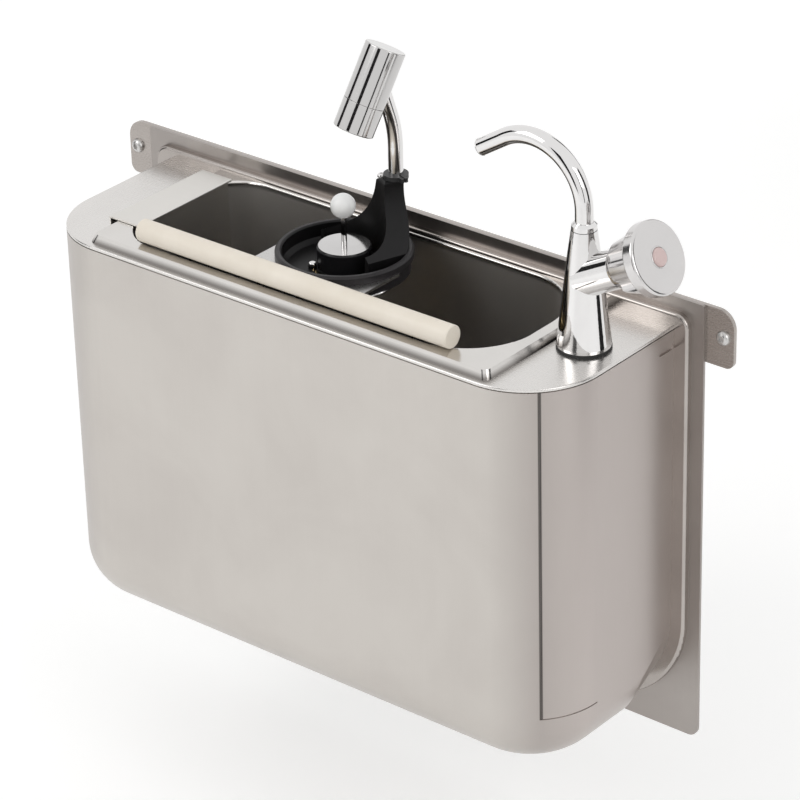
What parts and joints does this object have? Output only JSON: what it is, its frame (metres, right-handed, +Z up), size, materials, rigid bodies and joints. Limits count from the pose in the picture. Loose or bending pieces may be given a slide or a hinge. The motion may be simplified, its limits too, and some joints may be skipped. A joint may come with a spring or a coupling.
{
  "type": "dipper well",
  "caption": "Wall-hung steel dipper well with a scoop shower in a black bowl, a knock strip across the well and a small swivel tap on its deck.",
  "frame": {"origin": "on the wall plane, midway between the two wall screws, at the back face of the hanging bar", "axes": "+X right along the wall seen from the front, +Y into the wall, +Z up"},
  "size_m": [0.527, 0.153, 0.4644],
  "materials": {
    "brushed": "brushed",
    "satin": "satin",
    "chrome": "polished",
    "black_plastic": "satin",
    "cream_plastic": "matte",
    "white_plastic": "gloss",
    "index_plastic": "gloss",
    "black_rubber": "matte",
    "brass": "machined",
    "spring_steel": "bright"
  },
  "bodies": {
    "tub": {"wall_bar": "satin", "wall_screws": "satin", "rear_plate": "satin", "tub_flange": "satin", "casing": "brushed", "deck": "brushed", "basin": "satin", "strip_rail": "satin", "knock_strip": "cream_plastic", "bowl_bracket": "satin", "shower_bowl": "black_plastic", "bowl_screws": "chrome", "hub": "black_plastic", "hub_cap": "chrome", "plunger_spring": "spring_steel", "valve_body": "brass", "shower_tube": "chrome", "tube_clip": "black_plastic", "shower_head": "chrome", "head_ring": "chrome", "spray_face": "black_plastic", "tap_gasket": "black_rubber", "tap_body": "chrome", "tap_shank": "brass", "tap_washer": "brass", "tap_nut": "brass", "headwork": "brass", "waste_body": "satin", "waste_gasket": "black_rubber", "waste_nut": "black_plastic", "overflow_screen": "satin", "overflow_stub": "black_plastic", "overflow_elbow": "black_plastic", "overflow_drop": "black_plastic", "overflow_bend": "black_plastic", "overflow_run": "black_plastic", "tap_pipe": "brass", "shower_pipe": "brass", "wall_gland": "black_rubber", "tap_inlet": "brass", "tap_inlet_nut": "brass", "shower_inlet": "brass", "shower_inlet_nut": "brass"},
    "cover": {"cover_plate": "brushed"},
    "strainer": {"strainer": "satin"},
    "plunger": {"plunger_rod": "chrome", "plunger_ball": "white_plastic", "valve_poppet": "black_rubber"},
    "spout": {"spout": "chrome", "spout_collar": "chrome"},
    "handle": {"knob": "chrome", "index_button": "index_plastic", "spindle": "brass"}
  },
  "joints": [
    {"name": "cover_lift", "type": "slide", "parent": "tub", "child": "cover", "axis": [0, 0, 1], "range_m": [0, 0.075]},
    {"name": "strainer_lift", "type": "slide", "parent": "tub", "child": "strainer", "axis": [0, 0, 1], "range_m": [0, 0.06]},
    {"name": "plunger_push", "type": "slide", "parent": "tub", "child": "plunger", "axis": [0, 0, -1], "range_m": [0, 0.008], "stiffness_N_per_m": 300, "springref_m": -0.006, "deforming": ["plunger_spring"]},
    {"name": "spout_swivel", "type": "hinge", "parent": "tub", "child": "spout", "pos_m": [0.1915, -0.067, 0.084], "axis": [0, 0, 1], "range_deg": [-35, 100]},
    {"name": "knob_turn", "type": "hinge", "parent": "tub", "child": "handle", "pos_m": [0.1915, -0.067, 0.05], "axis": [0.8829, 0, 0.4695], "range_deg": [0, 180]}
  ]
}
